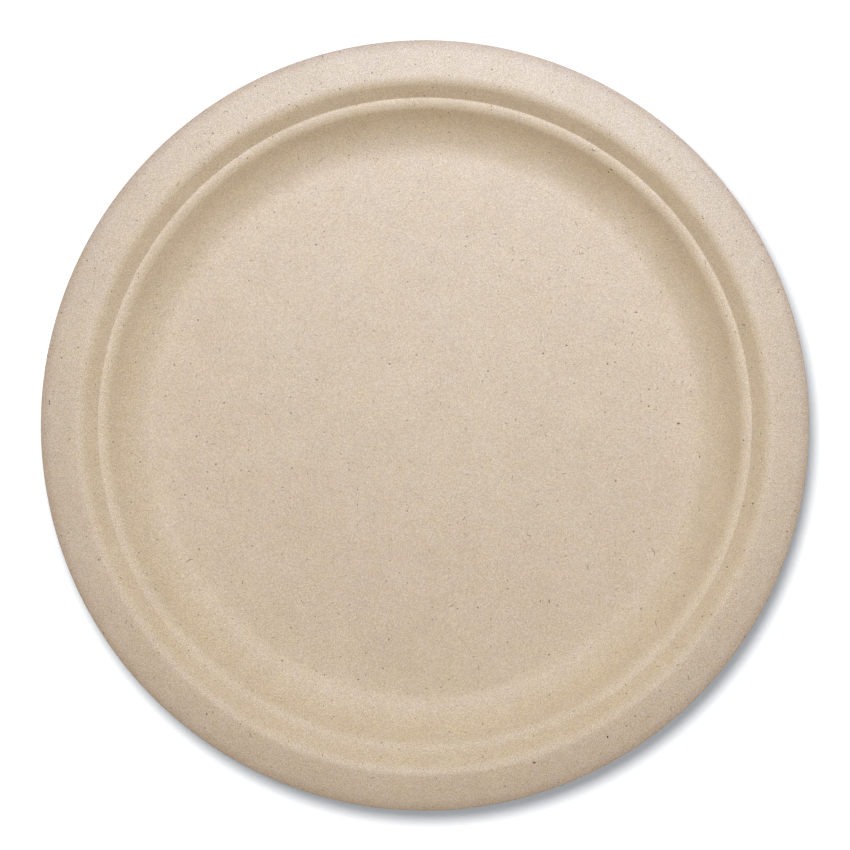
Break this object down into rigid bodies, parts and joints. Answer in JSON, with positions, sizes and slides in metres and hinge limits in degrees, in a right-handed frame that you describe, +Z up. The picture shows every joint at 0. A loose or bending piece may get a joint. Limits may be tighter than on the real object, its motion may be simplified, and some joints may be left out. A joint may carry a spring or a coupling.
{
  "type": "paper plate",
  "caption": "Round disposable dinner plate pressed from unbleached plant fibre, with a flat well, a stacking ledge and a gently falling rim.",
  "frame": {"origin": "centre of the plate's foot, on the surface that it stands on", "axes": "+Z up along the plate's axis, out of the well; the plate is round, so +X and +Y are any two directions across it"},
  "size_m": [0.254, 0.254, 0.0202],
  "materials": {
    "moulded_fibre": "matte"
  },
  "bodies": {
    "root": {"plate": "moulded_fibre"}
  },
  "joints": []
}
